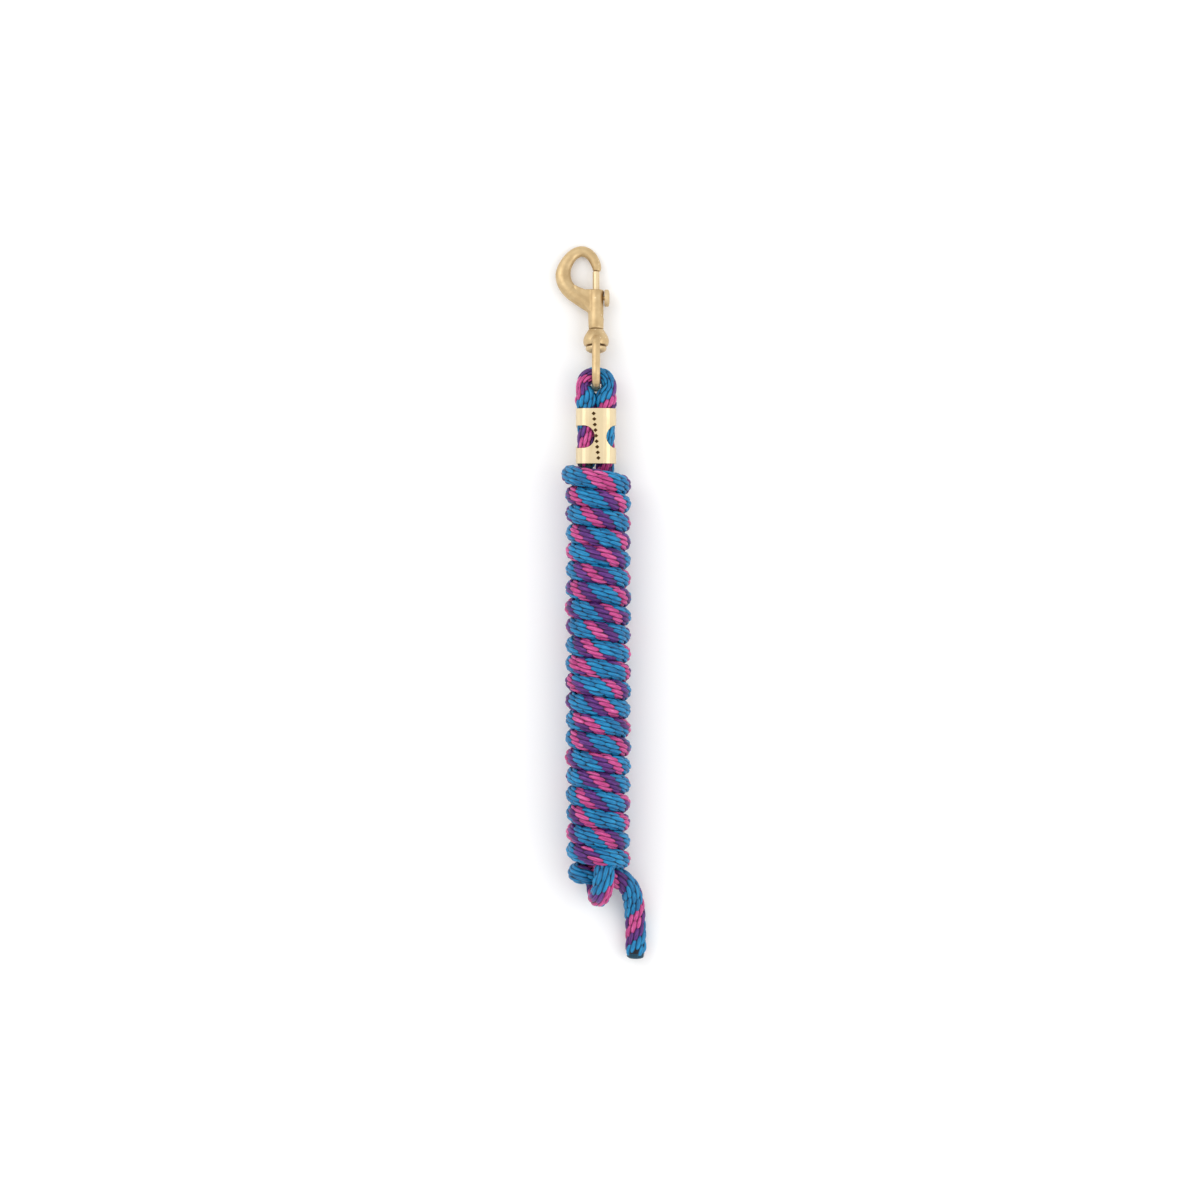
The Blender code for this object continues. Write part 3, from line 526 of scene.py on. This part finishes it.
# the third attribute is how much painted shade each point gets in the gaps between stitches
for name, kind, data in (("yarn_lay", "FLOAT_VECTOR", np.hstack([np.vstack(lays), np.zeros((count, 1))])),
                         ("stitch_tone", "FLOAT", np.concatenate(tones)),
                         ("gap_shade_depth", "FLOAT", np.concatenate(gap_shades))):
    made = rope_mesh.attributes.new(name, kind, "POINT")
    made.data.foreach_set("vector" if kind == "FLOAT_VECTOR" else "value",
                          np.ascontiguousarray(data, np.float32).ravel())
rope = bpy.data.objects.new("braided_rope", rope_mesh)
bpy.context.scene.collection.objects.link(rope)
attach(rope, "lead")
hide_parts("rope_eye", "rope_hank", "rope_bight", "rope_tail")
print("rope faces:", len(rope_mesh.polygons))


# %% [markdown]
# ## Node helpers
#
# Materials are trees of nodes. These few helpers keep the trees readable: one adds a node
# and sets it up, and one starts a group with named inputs and outputs, which is how one
# effect is shared by several materials.

# %% Helpers for nodes
def add(tree, kind, values=(), **settings):
    """A node with its settings, and its inputs set from values, which are numbers or sockets."""
    node = tree.nodes.new(kind)
    for key, value in settings.items():
        setattr(node, key, value)
    for key, value in dict(values).items():
        socket = node.inputs[key]
        if isinstance(value, bpy.types.NodeSocket):
            tree.links.new(value, socket)
        else:
            socket.default_value = value
    return node


def maths(tree, operation, a, b=0.0):
    """A Math node's result."""
    return add(tree, "ShaderNodeMath", {0: a, 1: b}, operation=operation).outputs[0]


def mixed(tree, share, a, b):
    """A colour between a and b."""
    node = add(tree, "ShaderNodeMix", {"Factor": share}, data_type="RGBA")
    for socket, value in ((node.inputs[6], a), (node.inputs[7], b)):
        if isinstance(value, bpy.types.NodeSocket):
            tree.links.new(value, socket)
        else:
            socket.default_value = value
    return node.outputs[2]


def spread(tree, value, low, high, to_low=0.0, to_high=1.0):
    """value from low to high, as a number from to_low to to_high."""
    return add(tree, "ShaderNodeMapRange", {"Value": value, "From Min": low, "From Max": high,
                                            "To Min": to_low, "To Max": to_high}).outputs[0]


def group(name, takes, gives):
    """A node group with its two ends."""
    tree = bpy.data.node_groups.new(name, "ShaderNodeTree")
    for socket, kind, value in takes:
        made = tree.interface.new_socket(socket, in_out="INPUT", socket_type=kind)
        if value is not None:
            made.default_value = value
    for socket, kind in gives:
        tree.interface.new_socket(socket, in_out="OUTPUT", socket_type=kind)
    return tree, tree.nodes.new("NodeGroupInput"), tree.nodes.new("NodeGroupOutput")


def material(name, preview):
    """A new material with its tree and its Principled node."""
    m = bpy.data.materials.new(name)
    m.use_nodes = True
    m.diffuse_color = preview
    return m, m.node_tree, m.node_tree.nodes["Principled BSDF"]


def rgb(red, green, blue):
    """A screen colour, 0 to 255, as the light it stands for."""
    return tuple(((c / 255 + 0.055) / 1.055) ** 2.4 if c > 10 else c / 3295
                 for c in (red, green, blue)) + (1.0,)


print("a middle grey is", [round(c, 3) for c in rgb(128, 128, 128)[:3]])

# %% [markdown]
# ## Yarn
#
# Each stitch is a bundle of fine plastic filaments, laid side by side. They show as thin
# streaks along the stitch, lighter and darker, with a soft sheen. Noise that is stretched
# along the stitch gives the streaks, and the stitch's own coordinates, stored on the mesh
# as yarn_lay, keep them in line wherever the rope turns. Deep in the gaps less light gets
# in than a renderer shows at this scale, so the colour goes darker there.

# %% The filament group
filaments, take, give = group(
    "yarn_filaments",
    [("Dark", "NodeSocketColor", None), ("Middle", "NodeSocketColor", None),
     ("Light", "NodeSocketColor", None), ("Gap Shade", "NodeSocketColor", None)],
    [("Color", "NodeSocketColor"), ("Height", "NodeSocketFloat"), ("Roughness", "NodeSocketFloat")])
lay = add(filaments, "ShaderNodeAttribute", attribute_name="yarn_lay").outputs["Vector"]
tone = add(filaments, "ShaderNodeAttribute", attribute_name="stitch_tone").outputs["Fac"]
painted_gap_shade = add(filaments, "ShaderNodeAttribute", attribute_name="gap_shade_depth").outputs["Fac"]
stretched = add(filaments, "ShaderNodeMapping", {"Vector": lay, "Scale": (5200, 380, 1)}).outputs[0]
streaks = add(filaments, "ShaderNodeTexNoise", {"Vector": stretched, "Scale": 1.0, "Detail": 2.0,
                                                "Roughness": 0.6}).outputs["Fac"]
wide = add(filaments, "ShaderNodeMapping", {"Vector": lay, "Scale": (1500, 160, 1)}).outputs[0]
bundles = add(filaments, "ShaderNodeTexNoise",
              {"Vector": wide, "Scale": 1.0, "Detail": 1.0}).outputs["Fac"]
shade = maths(filaments, "ADD", maths(filaments, "MULTIPLY", streaks, 0.55),
              maths(filaments, "MULTIPLY", bundles, 0.45))
shade = maths(filaments, "ADD", shade, maths(filaments, "MULTIPLY", tone, 0.05))
lower = mixed(filaments, spread(filaments, shade, 0.34, 0.52),
              take.outputs["Dark"], take.outputs["Middle"])
colour = mixed(filaments, spread(filaments, shade, 0.52, 0.70), lower, take.outputs["Light"])
# painted shade: deep in the gaps the colour goes over to the dark gap colour
colour = mixed(filaments, spread(filaments, painted_gap_shade, 0.25, 0.95, 0.0, 0.92), colour, take.outputs["Gap Shade"])
filaments.links.new(colour, give.inputs["Color"])
filaments.links.new(shade, give.inputs["Height"])
filaments.links.new(spread(filaments, streaks, 0.3, 0.7, 0.36, 0.56), give.inputs["Roughness"])
print("filament group nodes:", len(filaments.nodes))


# %% The yarn materials
def yarn(name, dark, middle, light, gap_shade_colour):
    """A yarn of one colour."""
    m, tree, shader = material(name, middle)
    made = add(tree, "ShaderNodeGroup", node_tree=filaments)
    for key, value in (("Dark", dark), ("Middle", middle), ("Light", light), ("Gap Shade", gap_shade_colour)):
        made.inputs[key].default_value = value
    bump = add(tree, "ShaderNodeBump", {"Height": made.outputs["Height"], "Distance": 0.00012,
                                        "Strength": 0.7})
    tree.links.new(made.outputs["Color"], shader.inputs["Base Color"])
    tree.links.new(made.outputs["Roughness"], shader.inputs["Roughness"])
    tree.links.new(bump.outputs[0], shader.inputs["Normal"])
    shader.inputs["Sheen Weight"].default_value = 0.06
    shader.inputs["Sheen Roughness"].default_value = 0.4
    shader.inputs["Specular IOR Level"].default_value = 0.35
    return m


# the last colour of each yarn is the painted shade in its gaps
yarns = [
    yarn("blue_yarn", rgb(0, 72, 122), rgb(2, 122, 176), rgb(44, 164, 214), rgb(0, 10, 40)),
    yarn("violet_yarn", rgb(44, 12, 74), rgb(88, 34, 118), rgb(132, 76, 162), rgb(10, 0, 34)),
    yarn("pink_yarn", rgb(140, 26, 92), rgb(198, 66, 136), rgb(228, 122, 178), rgb(40, 0, 30)),
    yarn("core_shadow", rgb(1, 3, 18), rgb(2, 5, 24), rgb(5, 9, 34), rgb(1, 3, 18)),
    yarn("melted_end", rgb(2, 34, 48), rgb(4, 60, 82), rgb(14, 88, 112), rgb(2, 16, 30)),
]
for m in yarns:
    rope_mesh.materials.append(m)
print("yarns:", [m.name for m in yarns])

# %% [markdown]
# ## Metal
#
# The snap is cast brass, tumbled and lacquered: a warm satin with a fine uneven grain, lighter,
# smoother edges where it has rubbed, and painted shade in its hollows. The ferrule is thinner
# pressed brass, paler and brighter. Both use one group for the grain, the wear and that shade.

# %% The metal group
wear_and_shade, take, give = group(
    "metal_wear_and_shade",
    [("Base", "NodeSocketColor", None), ("Edge", "NodeSocketColor", None),
     ("Tarnish and Shade", "NodeSocketColor", None), ("Smooth", "NodeSocketFloat", 0.25),
     ("Rough", "NodeSocketFloat", 0.4), ("Grain", "NodeSocketFloat", 900.0)],
    [("Color", "NodeSocketColor"), ("Roughness", "NodeSocketFloat"), ("Height", "NodeSocketFloat")])
place = add(wear_and_shade, "ShaderNodeTexCoord").outputs["Object"]
cloud = add(wear_and_shade, "ShaderNodeTexNoise", {"Vector": place, "Scale": 120.0, "Detail": 3.0}).outputs["Fac"]
grain = add(wear_and_shade, "ShaderNodeTexNoise",
            {"Vector": place, "Scale": take.outputs["Grain"], "Detail": 3.0}).outputs["Fac"]
point = add(wear_and_shade, "ShaderNodeNewGeometry").outputs["Pointiness"]
edge = spread(wear_and_shade, point, 0.52, 0.60)
# painted shade: low pointiness marks the hollows, and the colour goes over to the darker brass there
hollow_shade = spread(wear_and_shade, point, 0.48, 0.42)
colour = mixed(wear_and_shade, spread(wear_and_shade, cloud, 0.42, 0.66, 0.0, 0.35),
               take.outputs["Base"], take.outputs["Tarnish and Shade"])
colour = mixed(wear_and_shade, maths(wear_and_shade, "MULTIPLY", hollow_shade, 0.55), colour, take.outputs["Tarnish and Shade"])
colour = mixed(wear_and_shade, maths(wear_and_shade, "MULTIPLY", edge, 0.6), colour, take.outputs["Edge"])
rough = add(wear_and_shade, "ShaderNodeMapRange", {"Value": cloud, "From Min": 0.35, "From Max": 0.65,
                                         "To Min": take.outputs["Smooth"],
                                         "To Max": take.outputs["Rough"]}).outputs[0]
wear_and_shade.links.new(colour, give.inputs["Color"])
wear_and_shade.links.new(rough, give.inputs["Roughness"])
wear_and_shade.links.new(grain, give.inputs["Height"])
print("metal group nodes:", len(wear_and_shade.nodes))


# %% The metals
def metal(name, base, edge_colour, tarnish_and_shade, smooth, rough_value, grain_scale, depth):
    """A metal with its own grain, wear and gloss."""
    m, tree, shader = material(name, base)
    made = add(tree, "ShaderNodeGroup", node_tree=wear_and_shade)
    for key, value in (("Base", base), ("Edge", edge_colour), ("Tarnish and Shade", tarnish_and_shade), ("Smooth", smooth),
                       ("Rough", rough_value), ("Grain", grain_scale)):
        made.inputs[key].default_value = value
    bump = add(tree, "ShaderNodeBump",
               {"Height": made.outputs["Height"], "Distance": depth, "Strength": 0.5})
    tree.links.new(made.outputs["Color"], shader.inputs["Base Color"])
    tree.links.new(made.outputs["Roughness"], shader.inputs["Roughness"])
    tree.links.new(bump.outputs[0], shader.inputs["Normal"])
    shader.inputs["Metallic"].default_value = 1.0
    return m


# the third colour of each metal is its tarnish and the painted shade in its hollows
snap_brass = metal("cast_brass", rgb(208, 182, 138), rgb(240, 220, 184), rgb(156, 126, 84),
                   0.40, 0.54, 1400.0, 0.00008)
ferrule_brass = metal("pressed_brass", rgb(212, 188, 140), rgb(244, 228, 194), rgb(172, 142, 94),
                      0.30, 0.42, 900.0, 0.00004)
spring_steel = metal("spring_steel", rgb(188, 186, 180), rgb(225, 225, 225), rgb(120, 116, 110),
                     0.2, 0.35, 1800.0, 0.00003)

FINISH = {"snap_body": snap_brass, "gate_bolt": snap_brass, "thumb_stud": snap_brass,
          "swivel_rivet": snap_brass, "swivel_eye": snap_brass,
          "bolt_spring": spring_steel, "ferrule": ferrule_brass}
for name, m in FINISH.items():
    nodes[name].data.materials.clear()
    nodes[name].data.materials.append(m)
print("finishes:", {k: m.name for k, m in FINISH.items()})

# %% [markdown]
# ## Cast and pressed surfaces
#
# A casting has no sharp edge: the corners of its mould are filleted and tumbling rounds
# them again. The cast pieces are therefore remade as one even skin and smoothed by a few
# tenths of a millimetre. The ferrule is folded sheet, so only its edges are rolled over.
# Both are modifiers, and the pieces stay where the CAD model has them.

# %% Rounding the metal
CAST_SKIN, CAST_SMOOTHING, ROLLED_EDGE = 0.00042, 6, 0.0004
for name in ("snap_body", "swivel_eye"):
    skin = nodes[name].modifiers.new("even_skin", "REMESH")
    skin.mode, skin.voxel_size, skin.use_smooth_shade = "VOXEL", CAST_SKIN, True
    soft = nodes[name].modifiers.new("tumbled", "SMOOTH")
    soft.factor, soft.iterations = 0.5, CAST_SMOOTHING
for name, width in (("ferrule", ROLLED_EDGE), ("thumb_stud", 0.00025), ("gate_bolt", 0.0002)):
    rolled = nodes[name].modifiers.new("rolled_edge", "BEVEL")
    rolled.width, rolled.segments = width, 2
    rolled.limit_method, rolled.angle_limit = "ANGLE", math.radians(35)
print("smoothed and rolled:", [n for n in nodes if nodes[n].modifiers])

# %% [markdown]
# ## The stamped row
#
# The press leaves a row of small lozenges down the front of the ferrule, a little askew.
# Each is struck into the sheet, which throws up a low rim round a darker floor. Every
# point of a lozenge is dropped straight onto the ferrule, so that the row follows its
# curve.

# %% The lozenges
STAMPS, STAMP_LENGTH, STAMP_LEAN = 9, 0.0330, -0.0035
STAMP_HALF = (0.0019, 0.0017)  # half width and half length of one lozenge
RIM, RIM_SHARE, FLOOR = 0.00022, 0.86, 0.00006
ferrule = nodes["ferrule"]
to_ferrule = ferrule.matrix_world.inverted()
down = (to_ferrule.to_3x3() @ Vector((0, 0, -1))).normalized()


def on_ferrule(x, y):
    """The height of the ferrule's front at a place seen from above."""
    hit, where, _, _ = ferrule.ray_cast(to_ferrule @ Vector((x, y, ferrule_high.z + 0.01)), down)
    return (ferrule.matrix_world @ where).z if hit else ferrule_high.z


stamp_verts, stamp_faces, stamp_slots = [], [], []
ferrule_x = (ferrule_low.x + ferrule_high.x) / 2
ferrule_y = (ferrule_low.y + ferrule_high.y) / 2
for n in range(STAMPS):
    t = n / (STAMPS - 1) - 0.5
    middle_x, middle_y = ferrule_x + STAMP_LEAN * t, ferrule_y + STAMP_LENGTH * t
    start = len(stamp_verts)
    for share, lift in ((1.0, -0.0001), (0.94, RIM), (RIM_SHARE, RIM), (0.80, FLOOR)):
        for k in range(8):
            a = k * math.pi / 4
            reach = share * (1.0 if k % 2 == 0 else 0.74)
            x = middle_x + STAMP_HALF[0] * reach * math.cos(a)
            y = middle_y + STAMP_HALF[1] * reach * math.sin(a)
            stamp_verts.append((x, y, on_ferrule(x, y) + lift))
    for ring_no in range(3):
        for k in range(8):
            a, b = start + 8 * ring_no + k, start + 8 * ring_no + (k + 1) % 8
            stamp_faces.append((a, b, b + 8, a + 8))
            stamp_slots.append(1 if ring_no == 2 else 0)
    stamp_faces.append(tuple(range(start + 24, start + 32)))
    stamp_slots.append(1)
    stamp_faces.append(tuple(reversed(range(start, start + 8))))
    stamp_slots.append(0)
stamp_mesh = bpy.data.meshes.new("stamped_row")
stamp_mesh.from_pydata(stamp_verts, [], stamp_faces)
stamped_dark = metal("stamped_floor", rgb(84, 60, 34), rgb(110, 82, 50), rgb(56, 38, 22),
                     0.5, 0.65, 900.0, 0.00004)
stamp_mesh.materials.append(ferrule_brass)
stamp_mesh.materials.append(stamped_dark)
stamp_mesh.polygons.foreach_set("material_index", stamp_slots)
stamped_row = bpy.data.objects.new("stamped_row", stamp_mesh)
bpy.context.scene.collection.objects.link(stamped_row)
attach(stamped_row, "lead")
print("lozenges:", STAMPS)

# %% [markdown]
# ## Table and light
#
# A pale table fills the picture. Most of the light is even and comes from all round, with a
# large soft lamp up and to the left and a weaker one opposite, so that the satin metal
# shows its shape without a hard highlight and the rope keeps soft shadows between wraps.

# %% Table
TABLE_HALF = 4.0
table_mesh = bpy.data.meshes.new("table_top")
table_mesh.from_pydata([(-TABLE_HALF, -TABLE_HALF, 0), (TABLE_HALF, -TABLE_HALF, 0),
                        (TABLE_HALF, TABLE_HALF, 0), (-TABLE_HALF, TABLE_HALF, 0)], [], [(0, 1, 2, 3)])
table_top = bpy.data.objects.new("table_top", table_mesh)
bpy.context.scene.collection.objects.link(table_top)
table_top.location.z = -0.0004
paper, tree, shader = material("pale_table", (0.9, 0.9, 0.9, 1))
shader.inputs["Base Color"].default_value = (0.93, 0.93, 0.93, 1)
shader.inputs["Roughness"].default_value = 0.8
table_mesh.materials.append(paper)
print("table, m:", 2 * TABLE_HALF)


# %% Lamps
def lamp(name, place_at, size, power, towards=(0, 0, 0)):
    """A soft square lamp that faces a point."""
    data = bpy.data.lights.new(name, "AREA")
    data.size, data.energy = size, power
    made = bpy.data.objects.new(name, data)
    made.location = place_at
    facing = Vector(towards) - Vector(place_at)
    made.rotation_euler = facing.to_track_quat("-Z", "Y").to_euler()
    bpy.context.scene.collection.objects.link(made)
    return made


lamp("key", (-1.2, 1.0, 1.5), 1.6, 11)
lamp("fill", (1.3, -0.3, 1.4), 1.6, 8)
world = bpy.data.worlds.new("studio")
world.use_nodes = True
world.node_tree.nodes["Background"].inputs["Color"].default_value = (1, 1, 1, 1)
world.node_tree.nodes["Background"].inputs["Strength"].default_value = 1.0
bpy.context.scene.world = world
bpy.context.scene.view_settings.view_transform = "Standard"
